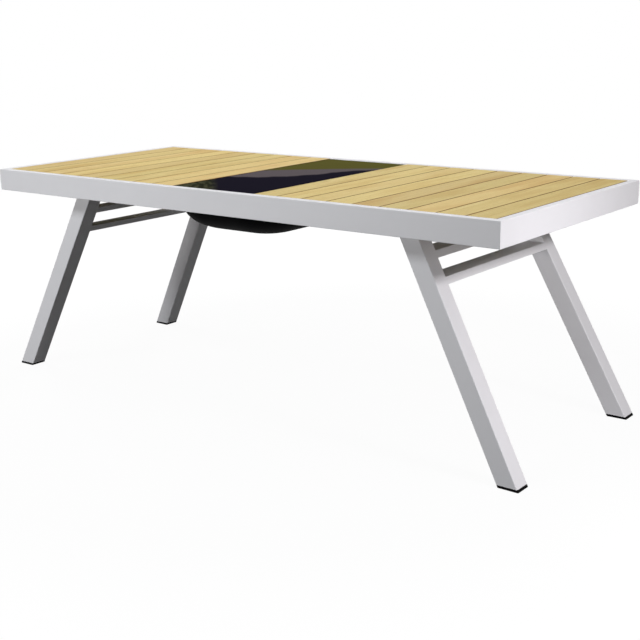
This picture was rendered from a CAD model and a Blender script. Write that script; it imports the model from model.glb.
import math

import bmesh
import bpy
from mathutils import Matrix, Vector


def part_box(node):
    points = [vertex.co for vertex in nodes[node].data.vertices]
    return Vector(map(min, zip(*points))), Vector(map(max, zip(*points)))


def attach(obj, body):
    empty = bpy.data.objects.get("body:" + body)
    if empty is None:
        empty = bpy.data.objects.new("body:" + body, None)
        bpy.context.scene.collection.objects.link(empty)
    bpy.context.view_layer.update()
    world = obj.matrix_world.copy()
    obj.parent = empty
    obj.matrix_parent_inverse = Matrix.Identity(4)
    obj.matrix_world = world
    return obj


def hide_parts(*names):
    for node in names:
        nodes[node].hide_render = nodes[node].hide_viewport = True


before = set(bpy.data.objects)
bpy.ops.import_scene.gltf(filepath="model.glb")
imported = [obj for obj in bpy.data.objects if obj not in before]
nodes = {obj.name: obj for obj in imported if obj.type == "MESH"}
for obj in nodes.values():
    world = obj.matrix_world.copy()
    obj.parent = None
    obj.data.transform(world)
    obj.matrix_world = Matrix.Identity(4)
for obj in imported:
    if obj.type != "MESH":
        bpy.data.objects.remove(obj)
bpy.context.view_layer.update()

# Skirt frame
# Four rails of aluminium box section, mitred at the corners, welded, ground flush and powder
# coated silver white.

SKIRT = ["front_rail", "back_rail", "left_end_rail", "right_end_rail"]
SKIRT_CORNER = (1.05, 0.45)
MITRE_LINE = 0.0006
COAT_WHITE = "#E3E2E5"
COAT_ROUGHNESS = 0.45
COAT_SPECULAR = 0.3
COAT_MOTTLE = 0.06
COAT_PEEL = 0.0025


def linear(colour):
    """The linear RGBA of an sRGB hex colour."""
    parts = [int(colour[i : i + 2], 16) / 255 for i in (1, 3, 5)]
    return [p / 12.92 if p <= 0.04045 else ((p + 0.055) / 1.055) ** 2.4 for p in parts] + [1.0]


def add(tree, kind, settings=None, links=None):
    """Adds one shader node, with its settings and the links into it."""
    made = tree.nodes.new("ShaderNode" + kind)
    for key, value in (settings or {}).items():
        if isinstance(key, int) or key in made.inputs:
            made.inputs[key].default_value = value
        else:
            setattr(made, key, value)
    for key, source in (links or {}).items():
        tree.links.new(source, made.inputs[key])
    return made


def new_material(name):
    """An empty node material, with its tree and its Object coordinates."""
    made = bpy.data.materials.new(name)
    made.use_nodes = True
    made.node_tree.nodes.clear()
    return made, made.node_tree, add(made.node_tree, "TexCoord").outputs["Object"]


def powder_coat(name, colour, rough, specular, mitre=False):
    """Baked polyester powder on aluminium: an even colour with a fine orange peel.

    The peel is about 1 mm on the real coat and is drawn at 2.5 mm, so that it shows. At a
    mitre the ground weld leaves a thin line, a little darker and lower than the faces.
    """
    made, tree, place = new_material(name)
    mottle = add(tree, "TexNoise", {"Scale": 1 / COAT_MOTTLE, "Detail": 2.0}, {"Vector": place})
    peel = add(tree, "TexNoise", {"Scale": 1 / COAT_PEEL, "Detail": 1.0}, {"Vector": place})
    tone = add(tree, "MapRange", {"To Min": 0.975, "To Max": 1.02}, {"Value": mottle.outputs[0]})
    gloss = add(tree, "MapRange", {"To Min": rough - 0.05, "To Max": rough + 0.05},
                {"Value": mottle.outputs[0]})
    height, value = peel.outputs[0], tone.outputs[0]
    if mitre:
        split = add(tree, "SeparateXYZ", {}, {"Vector": place})
        across = add(tree, "Math", {"operation": "ABSOLUTE"}, {0: split.outputs["X"]})
        along = add(tree, "Math", {"operation": "ABSOLUTE"}, {0: split.outputs["Y"]})
        apart = add(tree, "Math", {"operation": "SUBTRACT"},
                    {0: across.outputs[0], 1: along.outputs[0]})
        off = add(tree, "Math", {"operation": "SUBTRACT", 1: SKIRT_CORNER[0] - SKIRT_CORNER[1]},
                  {0: apart.outputs[0]})
        away = add(tree, "Math", {"operation": "ABSOLUTE"}, {0: off.outputs[0]})
        clear = add(tree, "MapRange", {"From Min": MITRE_LINE / 3, "From Max": MITRE_LINE},
                    {"Value": away.outputs[0]})
        height = add(tree, "Math", {"operation": "ADD"},
                     {0: height, 1: clear.outputs[0]}).outputs[0]
        shade = add(tree, "MapRange", {"To Min": 0.78, "To Max": 1.0}, {"Value": clear.outputs[0]})
        value = add(tree, "Math", {"operation": "MULTIPLY"},
                    {0: value, 1: shade.outputs[0]}).outputs[0]
    paint = add(tree, "HueSaturation", {"Color": linear(colour)}, {"Value": value})
    bump = add(tree, "Bump", {"Strength": 0.25, "Distance": 0.0001}, {"Height": height})
    shader = add(tree, "BsdfPrincipled", {"IOR": 1.5, "Specular IOR Level": specular},
                 {"Base Color": paint.outputs[0], "Roughness": gloss.outputs[0],
                  "Normal": bump.outputs[0]})
    add(tree, "OutputMaterial", {}, {"Surface": shader.outputs[0]})
    return made


def coat(names, material):
    """Gives the carried-over CAD nodes their material."""
    for name in names:
        nodes[name].data.materials.clear()
        nodes[name].data.materials.append(material)


coat(SKIRT, powder_coat("powder_coated_aluminium_mitred", COAT_WHITE, COAT_ROUGHNESS,
                        COAT_SPECULAR, mitre=True))

# Rails under the top
# Ledge rails beside the glass, pan rails and leg rails across the frame, and the bearers that
# the slats are screwed to. Extruded aluminium tube, welded in and coated with the frame.

UNDER_RAILS = [f"{side}_{kind}" for side in ("left", "right")
               for kind in ("ledge_rail", "pan_rail", "leg_rail", "front_bearer",
                            "middle_bearer", "back_bearer")]
white_coat = powder_coat("powder_coated_aluminium", COAT_WHITE, COAT_ROUGHNESS, COAT_SPECULAR)
coat(UNDER_RAILS, white_coat)

# Pan
# A shallow round-bottomed pan in black-coated sheet, deep drawn with wide round edges. Its
# flange is screwed up to the pan rails, so that it hangs between the front and back rails.

PAN_HALF = (0.246, 0.408)
PAN_CORNER = 0.175
PAN_DEPTH = 0.083
PAN_WALL = 0.003
PAN_BEND = 0.0012
PAN_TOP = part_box("front_rail")[0].z
PAN_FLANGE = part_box("pan")[1].xy
PAN_FLANGE_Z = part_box("pan")[1].z - PAN_WALL
PAN_SEGMENTS = 96
PAN_RINGS = 48
PAN_BLACK = "#060607"
PAN_ROUGHNESS = 0.8
PAN_SPECULAR = 0.03


def begin(name):
    """Names the new primitive and opens it in edit mode with nothing selected."""
    piece = bpy.context.object
    piece.name = piece.data.name = name
    bpy.ops.object.mode_set(mode="EDIT")
    bpy.ops.mesh.select_mode(type="VERT")
    bpy.ops.mesh.select_all(action="DESELECT")
    return piece


def pick(piece, kind, test):
    """Selects only the verts, edges or faces that pass the test, in edit mode."""
    bpy.ops.mesh.select_mode(type=kind)
    bpy.ops.mesh.select_all(action="DESELECT")
    mesh = bmesh.from_edit_mesh(piece.data)
    for part in {"VERT": mesh.verts, "EDGE": mesh.edges, "FACE": mesh.faces}[kind]:
        part.select_set(bool(test(part)))
    mesh.select_flush_mode()
    bmesh.update_edit_mesh(piece.data)


def end(piece, angle=35, bevel=None):
    """Closes edit mode, puts the place into the mesh, rounds the edges and smooths it."""
    bpy.ops.object.mode_set(mode="OBJECT")
    bpy.ops.object.select_all(action="DESELECT")
    piece.select_set(True)
    bpy.context.view_layer.objects.active = piece
    bpy.ops.object.transform_apply(location=True, rotation=True, scale=True)
    if bevel:
        rounding = piece.modifiers.new("rounding", "BEVEL")
        rounding.width, rounding.segments = bevel
        rounding.limit_method, rounding.angle_limit = "ANGLE", math.radians(40)
        bpy.ops.object.modifier_apply(modifier=rounding.name)
    bpy.ops.object.shade_smooth_by_angle(angle=math.radians(angle))
    return piece


def finish_piece(piece, body, slot, material, *replaced):
    """Gives a finished piece its material, its body, its slot and the nodes it stands for."""
    piece.data.materials.clear()
    piece.data.materials.append(material)
    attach(piece, body)
    if replaced:
        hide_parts(*replaced)


# the bowl: the lower half of a ball, flattened, with its quarters drawn apart
bpy.ops.object.select_all(action="DESELECT")
bpy.ops.mesh.primitive_uv_sphere_add(segments=PAN_SEGMENTS, ring_count=PAN_RINGS,
                                     radius=PAN_CORNER, location=(0, 0, PAN_TOP))
pan = begin("pan_shell")
bpy.ops.mesh.select_all(action="SELECT")
bpy.ops.transform.rotate(value=math.pi / PAN_SEGMENTS, orient_axis="Z",
                         center_override=(0, 0, PAN_TOP))
bpy.ops.transform.resize(value=(1, 1, PAN_DEPTH / PAN_CORNER), center_override=(0, 0, PAN_TOP))
pick(pan, "VERT", lambda v: v.co.z > 0.001 or Vector(v.co.xy).length < 0.001)
bpy.ops.mesh.delete(type="VERT")
for side_x in (-1, 1):
    for side_y in (-1, 1):
        pick(pan, "VERT", lambda v: v.co.x * side_x > 0 and v.co.y * side_y > 0)
        bpy.ops.transform.translate(value=(side_x * (PAN_HALF[0] - PAN_CORNER),
                                           side_y * (PAN_HALF[1] - PAN_CORNER), 0))
# the flat floor of the pan, then its upright rim and its flange
low_ring = -PAN_DEPTH * math.cos(math.pi / PAN_RINGS)
pick(pan, "EDGE", lambda e: e.is_boundary and e.verts[0].co.z < low_ring + 0.0005)
bpy.ops.mesh.edge_face_add()
pick(pan, "EDGE", lambda e: e.is_boundary)
bpy.ops.mesh.extrude_region_move(TRANSFORM_OT_translate={"value": (0, 0, PAN_FLANGE_Z - PAN_TOP)})
bpy.ops.mesh.extrude_region_move()
bpy.ops.transform.resize(value=(PAN_FLANGE[0] / PAN_HALF[0], PAN_FLANGE[1] / PAN_HALF[1], 1),
                         center_override=(0, 0, PAN_FLANGE_Z))
bpy.ops.mesh.select_all(action="SELECT")
bpy.ops.mesh.remove_doubles(threshold=0.00001)
bpy.ops.mesh.normals_make_consistent(inside=True)
bpy.ops.object.mode_set(mode="OBJECT")
wall = pan.modifiers.new("wall", "SOLIDIFY")
wall.thickness, wall.offset, wall.use_even_offset = PAN_WALL, -1.0, True
bpy.ops.object.modifier_apply(modifier=wall.name)
end(pan, bevel=(PAN_BEND, 2))
black_coat = powder_coat("black_powder_coated_sheet", PAN_BLACK, PAN_ROUGHNESS, PAN_SPECULAR)
finish_piece(pan, "frame", "black_coat", black_coat, "pan")

# Slats
# Nine planed teak boards on each side, laid across the table with a narrow gap between them.
# Sawn from different parts of the log, so each has its own tone, ring pattern and pores.

SLATS_PER_SIDE = 9
SLAT_FIRST = 0.176
SLAT_LAST = 1.025
SLAT_PITCH = (SLAT_LAST - SLAT_FIRST) / SLATS_PER_SIDE
SLAT_GAP = 0.0033
TEAK_LIGHT = "#DCC98E"
TEAK_MID = "#D0B97A"
TEAK_DARK = "#A98546"
TEAK_PATCH = "#B48F50"
TEAK_PORE = "#8E6A38"
TEAK_GAP = "#5A3414"
# keeps the numbers of the left and right boards apart, and so decides their chances
BOARD_DRAW = 14901.6
BOARD_TONE = (0.87, 1.045)
BOARD_DRIFT = (0.93, 1.07)
BOARD_HUE = (0.493, 0.503)
RING_SPACING = 0.0046
RING_SWAY = 0.018
RING_SHARE = 0.26
HEART_DEPTH = 0.045
PORE_SHARE = 0.4
# how many patches of each pattern lie in a metre across, along and down through a board
SWAY_GRAIN = (8.0, 1.1, 8.0)
STREAK_GRAIN = (330.0, 3.2, 330.0)
PORE_GRAIN = (1000.0, 34.0, 1000.0)
PATCH_GRAIN = (16.0, 2.5, 16.0)


def planed_teak(name):
    """Teak, sanded and oiled matt, with straight to gently arched grain along each slat.

    Growth rings lie 4 to 5 mm apart in the log. Pores are 0.3 mm wide on real teak and are
    drawn 1 mm wide and about 30 mm long, so that they show.
    """
    made, tree, place = new_material(name)
    # each board's number gives it chances of its own
    split = add(tree, "SeparateXYZ", {}, {"Vector": place})
    across, along = split.outputs["X"], split.outputs["Y"]
    out = add(tree, "Math", {"operation": "ABSOLUTE"}, {0: across})
    start = add(tree, "Math", {"operation": "SUBTRACT", 1: SLAT_FIRST}, {0: out.outputs[0]})
    count = add(tree, "Math", {"operation": "DIVIDE", 1: SLAT_PITCH}, {0: start.outputs[0]})
    which = add(tree, "Math", {"operation": "FLOOR"}, {0: count.outputs[0]})
    side = add(tree, "Math", {"operation": "SIGN"}, {0: across})
    number = add(tree, "Math", {"operation": "MULTIPLY_ADD", 1: BOARD_DRAW},
                 {0: side.outputs[0], 2: which.outputs[0]})
    chance = add(tree, "TexWhiteNoise", {"noise_dimensions": "1D"}, {"W": number.outputs[0]})
    luck = add(tree, "SeparateColor", {}, {"Color": chance.outputs["Color"]})
    shift = add(tree, "VectorMath", {"operation": "MULTIPLY", 1: (7.0, 9.0, 5.0)},
                {0: chance.outputs["Color"]})
    own = add(tree, "VectorMath", {"operation": "ADD"}, {0: place, 1: shift.outputs[0]})
    # growth rings: distance from the heart of the log, which runs almost along the board
    middle = add(tree, "Math", {"operation": "FRACT"}, {0: count.outputs[0]})
    heart_x = add(tree, "MapRange", {"To Min": -0.9, "To Max": 1.9}, {"Value": luck.outputs[0]})
    from_heart = add(tree, "Math", {"operation": "SUBTRACT"},
                     {0: middle.outputs[0], 1: heart_x.outputs[0]})
    ring_x = add(tree, "Math", {"operation": "MULTIPLY", 1: SLAT_PITCH}, {0: from_heart.outputs[0]})
    lean = add(tree, "MapRange", {"To Min": -0.05, "To Max": 0.05}, {"Value": luck.outputs[1]})
    depth = add(tree, "Math", {"operation": "MULTIPLY_ADD", 2: HEART_DEPTH},
                {0: along, 1: lean.outputs[0]})
    reach = add(tree, "CombineXYZ", {}, {"X": ring_x.outputs[0], "Y": depth.outputs[0]})
    radius = add(tree, "VectorMath", {"operation": "LENGTH"}, {0: reach.outputs[0]})
    sway_place = add(tree, "Mapping", {"Scale": SWAY_GRAIN}, {"Vector": own.outputs[0]})
    sway = add(tree, "TexNoise", {"Scale": 1.0, "Detail": 3.0}, {"Vector": sway_place.outputs[0]})
    bent = add(tree, "Math", {"operation": "MULTIPLY_ADD", 1: RING_SWAY},
               {0: sway.outputs[0], 2: radius.outputs["Value"]})
    turns = add(tree, "Math", {"operation": "MULTIPLY", 1: 2 * math.pi / RING_SPACING},
                {0: bent.outputs[0]})
    wave = add(tree, "Math", {"operation": "SINE"}, {0: turns.outputs[0]})
    rings = add(tree, "MapRange", {"From Min": -0.2, "From Max": 1.0}, {"Value": wave.outputs[0]})
    # long streaks, pores, and a slow change of tone
    streak_place = add(tree, "Mapping", {"Scale": STREAK_GRAIN}, {"Vector": own.outputs[0]})
    streak = add(tree, "TexNoise", {"Scale": 1.0, "Detail": 4.0, "Roughness": 0.6},
                 {"Vector": streak_place.outputs[0]})
    pore_place = add(tree, "Mapping", {"Scale": PORE_GRAIN}, {"Vector": own.outputs[0]})
    pore = add(tree, "TexNoise", {"Scale": 1.0, "Detail": 1.0}, {"Vector": pore_place.outputs[0]})
    pores = add(tree, "MapRange", {"From Min": 0.60, "From Max": 0.72}, {"Value": pore.outputs[0]})
    slow_place = add(tree, "Mapping", {"Scale": PATCH_GRAIN}, {"Vector": own.outputs[0]})
    slow = add(tree, "TexNoise", {"Scale": 1.0, "Detail": 2.0}, {"Vector": slow_place.outputs[0]})
    # colours, from the pale early wood to the dark late wood, patches and pores
    streaks = add(tree, "MapRange", {"From Min": 0.36, "From Max": 0.68},
                  {"Value": streak.outputs[0]})
    pale = add(tree, "Mix", {"data_type": "RGBA", 6: linear(TEAK_LIGHT), 7: linear(TEAK_MID)},
               {0: streaks.outputs[0]})
    ring_share = add(tree, "Math", {"operation": "MULTIPLY", 1: RING_SHARE},
                     {0: rings.outputs[0]})
    ringed = add(tree, "Mix", {"data_type": "RGBA", 7: linear(TEAK_DARK)},
                 {0: ring_share.outputs[0], 6: pale.outputs[2]})
    patches = add(tree, "MapRange", {"From Min": 0.46, "From Max": 0.7, "To Max": 0.5},
                  {"Value": slow.outputs[0]})
    patched = add(tree, "Mix", {"data_type": "RGBA", 7: linear(TEAK_PATCH)},
                  {0: patches.outputs[0], 6: ringed.outputs[2]})
    pore_share = add(tree, "Math", {"operation": "MULTIPLY", 1: PORE_SHARE},
                     {0: pores.outputs[0]})
    pored = add(tree, "Mix", {"data_type": "RGBA", 7: linear(TEAK_PORE)},
                {0: pore_share.outputs[0], 6: patched.outputs[2]})
    # each board's own tone and warmth
    tone = add(tree, "MapRange", {"To Min": BOARD_TONE[0], "To Max": BOARD_TONE[1]},
               {"Value": chance.outputs[0]})
    drift = add(tree, "MapRange", {"To Min": BOARD_DRIFT[0], "To Max": BOARD_DRIFT[1]},
                {"Value": slow.outputs[0]})
    value = add(tree, "Math", {"operation": "MULTIPLY"}, {0: tone.outputs[0], 1: drift.outputs[0]})
    warm = add(tree, "MapRange", {"To Min": BOARD_HUE[0], "To Max": BOARD_HUE[1]},
               {"Value": luck.outputs[2]})
    face = add(tree, "HueSaturation", {}, {"Hue": warm.outputs[0], "Value": value.outputs[0],
                                           "Color": pored.outputs[2]})
    # oil and dust darken the edges down in the gaps
    facing = add(tree, "SeparateXYZ", {}, {"Vector": add(tree, "TexCoord").outputs["Normal"]})
    level = add(tree, "Math", {"operation": "ABSOLUTE"}, {0: facing.outputs["Z"]})
    edge = add(tree, "MapRange", {"From Min": 0.985, "From Max": 0.75, "To Max": 0.97},
               {"Value": level.outputs[0]})
    wood = add(tree, "Mix", {"data_type": "RGBA", 7: linear(TEAK_GAP)},
               {0: edge.outputs[0], 6: face.outputs[0]})
    sanded = add(tree, "MapRange", {"To Min": 0.5, "To Max": 0.66}, {"Value": streak.outputs[0]})
    gloss = add(tree, "Math", {"operation": "MAXIMUM"}, {0: sanded.outputs[0], 1: edge.outputs[0]})
    relief = add(tree, "Math", {"operation": "MULTIPLY_ADD", 1: -0.6},
                 {0: pores.outputs[0], 2: streak.outputs[0]})
    bump = add(tree, "Bump", {"Strength": 0.35, "Distance": 0.0003}, {"Height": relief.outputs[0]})
    shader = add(tree, "BsdfPrincipled", {"IOR": 1.45, "Specular IOR Level": 0.2},
                 {"Base Color": wood.outputs[2], "Roughness": gloss.outputs[0],
                  "Normal": bump.outputs[0]})
    add(tree, "OutputMaterial", {}, {"Surface": shader.outputs[0]})
    return made


coat([f"{side}_slat_{i + 1}" for side in ("left", "right") for i in range(SLATS_PER_SIDE)],
     planed_teak("planed_teak"))

# Screws
# Stainless pan-head screws with a six-lobe drive, driven from below. Three go through the
# bearers into each slat, and five through each long side of the pan's flange.

SCREW_RADIUS = 0.0025
SCREW_TIP = (0.003, 0.35)
SCREW_HEAD = (0.0048, 0.003)
SCREW_HEAD_ROUND = 0.0016
SCREW_DRIVE = (0.0021, 0.0015)
SCREW_DRIVE_RIM = 0.0008
SCREW_LOBE = 0.14
SLAT_SCREW_LENGTH = 0.034
SLAT_MIDS = [SLAT_FIRST + i * SLAT_PITCH + (SLAT_PITCH - SLAT_GAP) / 2
             for i in range(SLATS_PER_SIDE)]
BEARERS = [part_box(f"right_{row}_bearer") for row in ("front", "middle", "back")]
BEARER_MIDS = [(low.y + high.y) / 2 for low, high in BEARERS]
BEARER_UNDER = BEARERS[0][0].z
PAN_SCREW_LENGTH = 0.013
PAN_SCREW_X = (PAN_HALF[0] + PAN_FLANGE[0]) / 2
PAN_SCREW_STEP = (PAN_HALF[1] - PAN_CORNER) / 2
STEEL_GREY = "#C6C5C1"
STEEL_MARKS = 0.0008


def stainless_steel(name):
    """Bright A2 stainless, turned and tumbled: a soft sheen with fine marks 0.8 mm apart."""
    made, tree, place = new_material(name)
    marks = add(tree, "TexNoise", {"Scale": 1 / STEEL_MARKS, "Detail": 3.0}, {"Vector": place})
    gloss = add(tree, "MapRange", {"To Min": 0.2, "To Max": 0.38}, {"Value": marks.outputs[0]})
    tone = add(tree, "MapRange", {"To Min": 0.9, "To Max": 1.05}, {"Value": marks.outputs[0]})
    metal = add(tree, "HueSaturation", {"Color": linear(STEEL_GREY)}, {"Value": tone.outputs[0]})
    shader = add(tree, "BsdfPrincipled", {"Metallic": 1.0},
                 {"Base Color": metal.outputs[0], "Roughness": gloss.outputs[0]})
    add(tree, "OutputMaterial", {}, {"Surface": shader.outputs[0]})
    return made


def copies(first, name, places):
    """Copies a finished fastener to every place, each with its own mesh, and joins them."""
    made = []
    for place in places:
        twin = first.copy()
        twin.data = first.data.copy()
        twin.data.transform(Matrix.Translation(place))
        bpy.context.collection.objects.link(twin)
        made.append(twin)
    bpy.data.objects.remove(first)
    bpy.ops.object.select_all(action="DESELECT")
    for twin in made:
        twin.select_set(True)
    bpy.context.view_layer.objects.active = made[0]
    bpy.ops.object.join()
    made[0].name = made[0].data.name = name
    return made[0]


def screw(length):
    """One screw that points up, with the seat of its head at the origin."""
    bpy.ops.object.select_all(action="DESELECT")
    radius, height = SCREW_HEAD
    bpy.ops.mesh.primitive_cylinder_add(vertices=24, radius=radius, depth=height,
                                        location=(0, 0, -height / 2))
    made = begin("screw")
    # the drive, pressed into the head as six lobes
    pick(made, "FACE", lambda f: f.normal.z < -0.9)
    bpy.ops.mesh.inset(thickness=radius - SCREW_DRIVE[0] - SCREW_DRIVE_RIM, depth=0)
    bpy.ops.mesh.inset(thickness=SCREW_DRIVE_RIM, depth=0)
    bpy.ops.mesh.extrude_region_move(TRANSFORM_OT_translate={"value": (0, 0, SCREW_DRIVE[1])})
    mesh = bmesh.from_edit_mesh(made.data)
    for vert in mesh.verts:
        if Vector(vert.co.xy).length < SCREW_DRIVE[0] * 1.1:
            turn = math.atan2(vert.co.y, vert.co.x)
            vert.co.xy = Vector(vert.co.xy) * (1 + SCREW_LOBE * math.cos(6 * turn))
    bmesh.update_edit_mesh(made.data)
    # the round edge of the head, then the shank and its tip
    pick(made, "EDGE", lambda e: all(v.co.z < -0.0014 and Vector(v.co.xy).length > radius * 0.99
                                     for v in e.verts))
    bpy.ops.mesh.bevel(offset=SCREW_HEAD_ROUND, segments=4, affect="EDGES")
    pick(made, "FACE", lambda f: f.normal.z > 0.9 and f.calc_center_median().z > height * 0.4)
    bpy.ops.mesh.inset(thickness=radius - SCREW_RADIUS, depth=0)
    tip, taper = SCREW_TIP
    bpy.ops.mesh.extrude_region_move(TRANSFORM_OT_translate={"value": (0, 0, length - tip)})
    bpy.ops.mesh.extrude_region_move(TRANSFORM_OT_translate={"value": (0, 0, tip)})
    bpy.ops.transform.resize(value=(taper, taper, 1))
    return end(made)


steel = stainless_steel("stainless_steel")
slat_screws = copies(screw(SLAT_SCREW_LENGTH), "slat_screws_six_lobe",
                     [(side * x, y, BEARER_UNDER) for side in (-1, 1) for x in SLAT_MIDS
                      for y in BEARER_MIDS])
finish_piece(slat_screws, "frame", "stainless", steel, "slat_screws")
pan_screws = copies(screw(PAN_SCREW_LENGTH), "pan_screws_six_lobe",
                    [(side * PAN_SCREW_X, i * PAN_SCREW_STEP, PAN_FLANGE_Z)
                     for side in (-1, 1) for i in range(-2, 3)])
finish_piece(pan_screws, "frame", "stainless", steel, "pan_screws")

# Glass panel
# A lift-out pane of black tempered glass with ground and polished edges. It lies loose on
# rubber pads, so it takes a body of its own.

GLASS_CORNER = 0.004
GLASS_ARRIS = 0.0008
GLASS_BLACK = "#08080B"


def black_glass(name):
    """Float glass tinted black through: a mirror face with the faintest wiping marks."""
    made, tree, place = new_material(name)
    wipe_place = add(tree, "Mapping", {"Scale": (9.0, 3.0, 9.0), "Rotation": (0, 0, 0.5)},
                     {"Vector": place})
    wipe = add(tree, "TexNoise", {"Scale": 1.0, "Detail": 4.0, "Distortion": 0.6},
               {"Vector": wipe_place.outputs[0]})
    gloss = add(tree, "MapRange", {"To Min": 0.004, "To Max": 0.014}, {"Value": wipe.outputs[0]})
    body = add(tree, "MapRange", {"To Min": 0.9, "To Max": 1.1}, {"Value": wipe.outputs[0]})
    tint = add(tree, "HueSaturation", {"Color": linear(GLASS_BLACK)}, {"Value": body.outputs[0]})
    shader = add(tree, "BsdfPrincipled", {"IOR": 1.52},
                 {"Base Color": tint.outputs[0], "Roughness": gloss.outputs[0]})
    add(tree, "OutputMaterial", {}, {"Surface": shader.outputs[0]})
    return made


bpy.ops.object.select_all(action="DESELECT")
glass_low, glass_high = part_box("glass_panel")
bpy.ops.mesh.primitive_cube_add(size=1, location=(glass_low + glass_high) / 2)
bpy.context.object.scale = glass_high - glass_low
bpy.ops.object.transform_apply(location=False, rotation=False, scale=True)
glass = begin("glass_pane")
pick(glass, "EDGE", lambda e: abs(e.verts[0].co.z - e.verts[1].co.z) > 0.001)
bpy.ops.mesh.bevel(offset=GLASS_CORNER, segments=6, affect="EDGES")
pick(glass, "FACE", lambda f: abs(f.normal.z) > 0.9)
bpy.ops.mesh.region_to_loop()
bpy.ops.mesh.bevel(offset=GLASS_ARRIS, segments=2, affect="EDGES")
finish_piece(end(glass, angle=20), "glass", "black_glass", black_glass("black_tempered_glass"),
             "glass_panel")

# Rubber pads under the glass
# Moulded black rubber blocks, four along each side, glued to the ledge rails. They carry the
# glass clear of the metal and keep it from sliding.

RUBBER_BLACK = "#070707"
RUBBER_GRAIN = 0.0007
RUBBER_BLOOM = 0.02


def moulded_rubber(name):
    """EPDM rubber from a sparked mould: dull, nearly black, with a grain of about 0.7 mm."""
    made, tree, place = new_material(name)
    grain = add(tree, "TexNoise", {"Scale": 1 / RUBBER_GRAIN, "Detail": 2.0}, {"Vector": place})
    bloom = add(tree, "TexNoise", {"Scale": 1 / RUBBER_BLOOM, "Detail": 2.0}, {"Vector": place})
    tone = add(tree, "MapRange", {"To Min": 0.8, "To Max": 1.3}, {"Value": bloom.outputs[0]})
    skin = add(tree, "HueSaturation", {"Color": linear(RUBBER_BLACK)}, {"Value": tone.outputs[0]})
    gloss = add(tree, "MapRange", {"To Min": 0.7, "To Max": 0.85}, {"Value": grain.outputs[0]})
    bump = add(tree, "Bump", {"Strength": 0.3, "Distance": 0.0001}, {"Height": grain.outputs[0]})
    shader = add(tree, "BsdfPrincipled", {"IOR": 1.5, "Specular IOR Level": 0.06},
                 {"Base Color": skin.outputs[0], "Roughness": gloss.outputs[0],
                  "Normal": bump.outputs[0]})
    add(tree, "OutputMaterial", {}, {"Surface": shader.outputs[0]})
    return made


rubber = moulded_rubber("moulded_rubber")
coat(["glass_pads"], rubber)

# Leg frames
# At each end two square aluminium tubes lean outwards, with two cross beams let in flush with
# their outer faces and a plate welded on each top. Welded, ground on the outside, and coated.

LEG_TILT = math.radians(28)
LEG_SPLAY = math.radians(2.9)
LEG_TURN = Matrix.Rotation(-LEG_TILT, 3, "Y") @ Matrix.Rotation(-LEG_SPLAY, 3, "X")
LEG_HALF = 0.030
LEG_CUT = 2 * LEG_HALF / math.cos(LEG_TILT)
FOOT_REACH = 0.046
FOOT_INSET = 0.054
LEG_FOOT = (SKIRT_CORNER[0] + FOOT_REACH - LEG_CUT / 2, SKIRT_CORNER[1] - FOOT_INSET - LEG_HALF)
BEAM_CUT = 0.056 / math.cos(LEG_TILT)
BEAM_HEIGHT = 0.020
BEAM_Z = [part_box(f"right_{level}_beam")[0].z for level in ("lower", "upper")]
PLATE_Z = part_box("back_right_leg_plate")[0].z
LEG_TOP = sum(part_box("back_right_leg_plate"), Vector()).xy / 2
BEAD = 0.0022

LEG_FRAME = ([f"{row}_{side}_{kind}" for row in ("front", "back") for side in ("left", "right")
              for kind in ("leg", "leg_plate")]
             + [f"{side}_{level}_beam" for side in ("left", "right")
                for level in ("lower", "upper")])
coat(LEG_FRAME, white_coat)


def leg_outer(z):
    """X of the outer face of a right-hand leg at height z."""
    return LEG_FOOT[0] + LEG_CUT / 2 - math.tan(LEG_TILT) * z


def bead_path(z):
    """Three sides of the joint between a beam at height z and the front right leg."""
    on_face = Vector((LEG_FOOT[0], -LEG_FOOT[1], 0)) + LEG_TURN @ Vector((0, LEG_HALF, 0))
    normal = LEG_TURN @ Vector((0, 1, 0))
    top = z + BEAM_HEIGHT
    section = [(leg_outer(top) - 2 * BEAD, top), (leg_outer(top) - BEAM_CUT, top),
               (leg_outer(z) - BEAM_CUT, z), (leg_outer(z) - 2 * BEAD, z)]
    path = []
    for x, height in section:
        y = on_face.y - (normal.x * (x - on_face.x) + normal.z * (height - on_face.z)) / normal.y
        path.append(Vector((x, y, height)))
    return path


def plate_path():
    """The joint between the front right leg and its plate, all the way round."""
    place = Vector((LEG_TOP[0], -LEG_TOP[1], PLATE_Z))
    return [place + Vector((x * LEG_CUT / 2, y * LEG_HALF, 0))
            for x, y in ((-1, -1), (1, -1), (1, 1), (-1, 1))]


def welded(name, paths, closed=False):
    """Fillet beads of weld along the paths, as one mesh."""
    line = bpy.data.curves.new(name, "CURVE")
    line.dimensions = "3D"
    line.bevel_depth, line.bevel_resolution = BEAD, 2
    line.use_fill_caps = True
    for path in paths:
        spline = line.splines.new("POLY")
        spline.points.add(len(path) - 1)
        spline.use_cyclic_u = closed
        for point, place in zip(spline.points, path):
            point.co = (*place, 1)
    made = bpy.data.objects.new(name, line)
    bpy.context.collection.objects.link(made)
    bpy.ops.object.select_all(action="DESELECT")
    made.select_set(True)
    bpy.context.view_layer.objects.active = made
    bpy.ops.object.convert(target="MESH")
    bpy.ops.object.shade_smooth_by_angle(angle=math.radians(50))
    return bpy.context.object


for side_name, side_x in (("left", -1), ("right", 1)):
    beam_paths = [bead_path(z) for z in BEAM_Z]
    for joint, paths, closed in (("beam", beam_paths, False), ("plate", [plate_path()], True)):
        beads = [[Vector((p.x * side_x, p.y * side_y, p.z)) for p in path]
                 for path in paths for side_y in (1, -1)]
        finish_piece(welded(f"{side_name}_{joint}_welds", beads, closed), "frame", "frame_coat",
                     white_coat)

# Leg bolts
# Stainless hexagon flange bolts, four up through each leg plate into rivet nuts in the leg
# rail. Cold headed, with a chamfered and slightly dished head.

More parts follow.
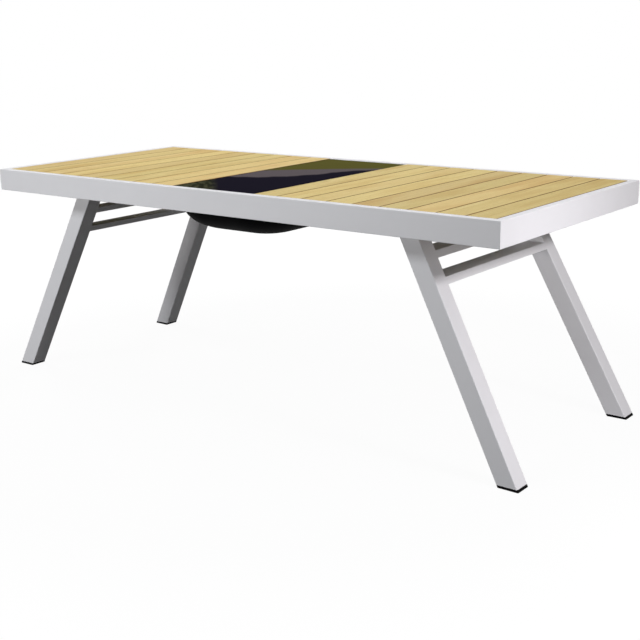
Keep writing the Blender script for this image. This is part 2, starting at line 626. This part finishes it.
BOLT_HEX = 0.0075
BOLT_HEAD = 0.0036
BOLT_CHAMFER = (0.0008, 0.0005)
BOLT_DISH = (0.0018, -0.0003)
BOLT_FLANGE = (0.0088, 0.0012)
BOLT_FLANGE_ROUND = 0.0003
BOLT_RADIUS = 0.004
BOLT_LENGTH = 0.024
BOLT_TIP = (0.001, 0.75)
BOLT_STEP = (0.032, 0.052)

bpy.ops.object.select_all(action="DESELECT")
bpy.ops.mesh.primitive_cylinder_add(vertices=6, radius=BOLT_HEX, depth=BOLT_HEAD,
                                    location=(0, 0, -BOLT_FLANGE[1] - BOLT_HEAD / 2))
hexagon = begin("leg_bolt")
pick(hexagon, "FACE", lambda f: f.normal.z < -0.9)
for thickness, depth in (BOLT_CHAMFER, BOLT_DISH):
    bpy.ops.mesh.inset(thickness=thickness, depth=depth)
end(hexagon)
bpy.ops.object.select_all(action="DESELECT")
bpy.ops.mesh.primitive_cylinder_add(vertices=32, radius=BOLT_FLANGE[0], depth=BOLT_FLANGE[1],
                                    location=(0, 0, -BOLT_FLANGE[1] / 2))
bolt = begin("leg_bolt_flange")
pick(bolt, "FACE", lambda f: f.normal.z > 0.9)
bpy.ops.mesh.inset(thickness=BOLT_FLANGE[0] - BOLT_RADIUS, depth=0)
tip, taper = BOLT_TIP
bpy.ops.mesh.extrude_region_move(TRANSFORM_OT_translate={"value": (0, 0, BOLT_LENGTH - tip)})
bpy.ops.mesh.extrude_region_move(TRANSFORM_OT_translate={"value": (0, 0, tip)})
bpy.ops.transform.resize(value=(taper, taper, 1))
end(bolt, bevel=(BOLT_FLANGE_ROUND, 1))
hexagon.select_set(True)
bpy.ops.object.join()
leg_bolts = copies(bolt, "leg_flange_bolts",
                   [(side_x * (LEG_TOP[0] + x * BOLT_STEP[0]),
                     side_y * LEG_TOP[1] + y * BOLT_STEP[1], PLATE_Z)
                    for side_x in (-1, 1) for side_y in (-1, 1) for x in (-1, 1)
                    for y in (-1, 1)])
finish_piece(leg_bolts, "frame", "stainless", steel, "leg_bolts")
coat(["rivet_nuts"], steel)

# Foot pads
# Black moulded rubber pads, each with a plug that is pushed into the end of its leg. Their
# undersides lie flat on the floor.

coat(["foot_pads"], rubber)

# Studio
# A plain pale floor that stays white to the camera and keeps the table's shadow, large soft
# lamps, and a far ring of dim cards that only a mirror face shows.

WHITE = [1.0] * 4
FLOOR_SIZE = 60
FLOOR_SHARE = 0.03
FLOOR_WHITE = (0.955, 1.0)
FLOOR_FADE = (1.3, 2.6)
AMBIENT = 0.01
RING_RADIUS = 6.0
RING_HEIGHT = 4.0
CARD_HORIZON = 1.512
CARD_FADE = 2.4
CARD_EDGE = 0.004
CARD_RIPPLE = 0.012
CARD_OLIVE = "#79753C"
CARD_GREY = "#80777B"
CARD_SLATE = "#2A2735"
GREY_MIDDLE = (-3.94, 0.75)
GREY_RISE = (0.012, 0.058)
SPECKLE_DARK = "#3A3D2C"
SPECKLE_LIGHT = "#66664D"
SPECKLE_FROM = -4.33
SPECKLE_EDGE = 0.03


def seen_white(tree):
    """1 for a ray from the camera, a mirror face or through glass, and 0 for soft light."""
    path = add(tree, "LightPath")
    both = add(tree, "Math", {"operation": "MAXIMUM"},
               {0: path.outputs["Is Camera Ray"], 1: path.outputs["Is Glossy Ray"]})
    return add(tree, "Math", {"operation": "MAXIMUM"},
               {0: both.outputs[0], 1: path.outputs["Is Transmission Ray"]}).outputs[0]


bpy.ops.object.select_all(action="DESELECT")
bpy.ops.mesh.primitive_plane_add(size=FLOOR_SIZE, location=(0, 0, 0))
floor = bpy.context.object
floor.name = "floor"
floor_material, tree, place = new_material("pale_studio_floor")
dull = add(tree, "BsdfDiffuse", {"Color": [FLOOR_SHARE] * 3 + [1.0]})
middle = add(tree, "VectorMath", {"operation": "LENGTH"}, {0: place})
level = add(tree, "MapRange", {"From Min": FLOOR_FADE[0], "From Max": FLOOR_FADE[1],
                               "To Min": FLOOR_WHITE[0], "To Max": FLOOR_WHITE[1]},
            {"Value": middle.outputs["Value"]})
strength = add(tree, "Math", {"operation": "MULTIPLY"},
               {0: level.outputs[0], 1: seen_white(tree)})
glow = add(tree, "Emission", {"Color": WHITE}, {"Strength": strength.outputs[0]})
both = add(tree, "AddShader", {}, {0: dull.outputs[0], 1: glow.outputs[0]})
add(tree, "OutputMaterial", {}, {"Surface": both.outputs[0]})
floor.data.materials.append(floor_material)


def dim_cards(name):
    """Olive below a level line, a grey band that swells at one place, slate, and then white.

    Towards one end the slate turns into a speckled dark green.
    """
    made, tree, place = new_material(name)
    split = add(tree, "SeparateXYZ", {}, {"Vector": place})
    across, height = split.outputs["X"], split.outputs["Z"]
    # the lines between the bands: level under the grey, swelling and rippled over it
    off = add(tree, "Math", {"operation": "SUBTRACT", 1: GREY_MIDDLE[0]}, {0: across})
    away = add(tree, "Math", {"operation": "ABSOLUTE"}, {0: off.outputs[0]})
    swell = add(tree, "MapRange", {"interpolation_type": "SMOOTHSTEP", "From Max": GREY_MIDDLE[1],
                                   "To Min": GREY_RISE[1], "To Max": GREY_RISE[0]},
                {"Value": away.outputs[0]})
    ripple = add(tree, "TexNoise", {"Scale": 4.0, "Detail": 2.0}, {"Vector": place})
    wavy = add(tree, "MapRange", {"To Min": -CARD_RIPPLE, "To Max": CARD_RIPPLE},
               {"Value": ripple.outputs[0]})
    over = add(tree, "Math", {"operation": "SUBTRACT", 1: CARD_HORIZON}, {0: height})
    above = add(tree, "Math", {"operation": "SUBTRACT"}, {0: over.outputs[0], 1: swell.outputs[0]})
    rough = add(tree, "Math", {"operation": "ADD"}, {0: above.outputs[0], 1: wavy.outputs[0]})
    is_grey = add(tree, "MapRange", {"From Min": -CARD_EDGE, "From Max": CARD_EDGE},
                  {"Value": over.outputs[0]})
    is_slate = add(tree, "MapRange", {"From Min": -CARD_EDGE, "From Max": CARD_EDGE},
                   {"Value": rough.outputs[0]})
    is_speckled = add(tree, "MapRange", {"From Min": SPECKLE_FROM + SPECKLE_EDGE,
                                         "From Max": SPECKLE_FROM - SPECKLE_EDGE},
                      {"Value": across})
    # the colours of the bands
    speck_place = add(tree, "Mapping", {"Scale": (1.0, 1.0, 3.0)}, {"Vector": place})
    speck = add(tree, "TexNoise", {"Scale": 20.0, "Detail": 3.0},
                {"Vector": speck_place.outputs[0]})
    specks = add(tree, "MapRange", {"From Min": 0.46, "From Max": 0.6},
                 {"Value": speck.outputs[0]})
    speckled = add(tree, "Mix", {"data_type": "RGBA", 6: linear(SPECKLE_DARK),
                                 7: linear(SPECKLE_LIGHT)}, {0: specks.outputs[0]})
    low = add(tree, "Mix", {"data_type": "RGBA", 6: linear(CARD_OLIVE), 7: linear(CARD_GREY)},
              {0: is_grey.outputs[0]})
    upper = add(tree, "Mix", {"data_type": "RGBA", 6: linear(CARD_SLATE)},
                {0: is_speckled.outputs[0], 7: speckled.outputs[2]})
    whole = add(tree, "Mix", {"data_type": "RGBA"},
                {0: is_slate.outputs[0], 6: low.outputs[2], 7: upper.outputs[2]})
    fade = add(tree, "MapRange", {"interpolation_type": "SMOOTHSTEP", "From Min": CARD_FADE,
                                  "From Max": RING_HEIGHT}, {"Value": height})
    faded = add(tree, "Mix", {"data_type": "RGBA", 7: WHITE},
                {0: fade.outputs[0], 6: whole.outputs[2]})
    glow = add(tree, "Emission", {}, {"Color": faded.outputs[2]})
    add(tree, "OutputMaterial", {}, {"Surface": glow.outputs[0]})
    return made


bpy.ops.object.select_all(action="DESELECT")
bpy.ops.mesh.primitive_cylinder_add(vertices=128, radius=RING_RADIUS, depth=RING_HEIGHT,
                                    end_fill_type="NOTHING", location=(0, 0, RING_HEIGHT / 2))
ring = end(begin("card_ring"))
ring.data.materials.append(dim_cards("dim_cards"))
ring.visible_camera = ring.visible_diffuse = ring.visible_transmission = False
ring.visible_shadow = ring.visible_volume_scatter = False

world = bpy.data.worlds.new("studio")
bpy.context.scene.world = world
world.use_nodes = True
tree = world.node_tree
tree.nodes.clear()
soft = add(tree, "Background", {"Color": WHITE, "Strength": AMBIENT})
white = add(tree, "Background", {"Color": WHITE, "Strength": 1.0})
mixed = add(tree, "MixShader", {}, {0: seen_white(tree), 1: soft.outputs[0], 2: white.outputs[0]})
add(tree, "OutputWorld", {}, {"Surface": mixed.outputs[0]})

LAMPS = [
    # name, place, aimed at, width, height, power, colour, shown in mirror faces
    ("top", (0.0, 0.0, 3.4), (0.0, 0.0, 0.7), 3.2, 2.4, 43, "#FFFFFF", False),
    ("right", (3.28, -0.39, 1.88), (1.0, 0.2, 0.3), 0.53, 0.33, 44, "#FFFDFF", True),
    ("right_low", (1.84, -0.32, 0.63), (1.0, 0.0, 0.2), 0.5, 0.59, 4.2, "#FFFDFF", False),
    ("front", (-1.13, -3.64, 3.41), (-0.3, -0.3, 0.6), 1.4, 1.0, 75, "#F8FCFF", True),
    ("front_low", (-0.96, -3.49, 0.93), (-0.2, -0.45, 0.5), 0.7, 0.84, 39, "#FFFFFF", True),
    ("back", (-1.8, 3.2, 2.0), (-0.4, 0.4, 0.5), 1.4, 1.2, 70, "#FFFFFF", False),
    ("left", (-3.0, 0.6, 2.3), (-1.0, 0.1, 0.5), 1.2, 1.2, 33, "#FFFFFF", False),
]
for name, place, aim, width, height, power, colour, mirrored in LAMPS:
    lamp = bpy.data.lights.new(name, "AREA")
    lamp.shape, lamp.size, lamp.size_y = "RECTANGLE", width, height
    lamp.energy = power
    lamp.color = linear(colour)[:3]
    holder = bpy.data.objects.new(name, lamp)
    bpy.context.collection.objects.link(holder)
    holder.location = place
    holder.rotation_euler = (Vector(aim) - Vector(place)).to_track_quat("-Z", "Y").to_euler()
    holder.visible_camera = False
    holder.visible_glossy = mirrored

CAMERA_PLACE = (2.46994, -3.01934, 1.28001)
CAMERA_YAW = 0.6668322
CAMERA_PITCH = 0.2587734
CAMERA_ROLL = -0.0179750
CAMERA_LENS = 63.545
CAMERA_SENSOR = 36
camera = bpy.data.objects.new("camera", bpy.data.cameras.new("camera"))
bpy.context.collection.objects.link(camera)
camera.data.sensor_width = CAMERA_SENSOR
camera.data.lens = CAMERA_LENS
camera.matrix_world = (Matrix.Translation(CAMERA_PLACE)
                       @ Matrix.Rotation(CAMERA_YAW, 4, "Z")
                       @ Matrix.Rotation(math.pi / 2 - CAMERA_PITCH, 4, "X")
                       @ Matrix.Rotation(CAMERA_ROLL, 4, "Z"))
bpy.context.scene.camera = camera
bpy.context.scene.view_settings.view_transform = "Standard"
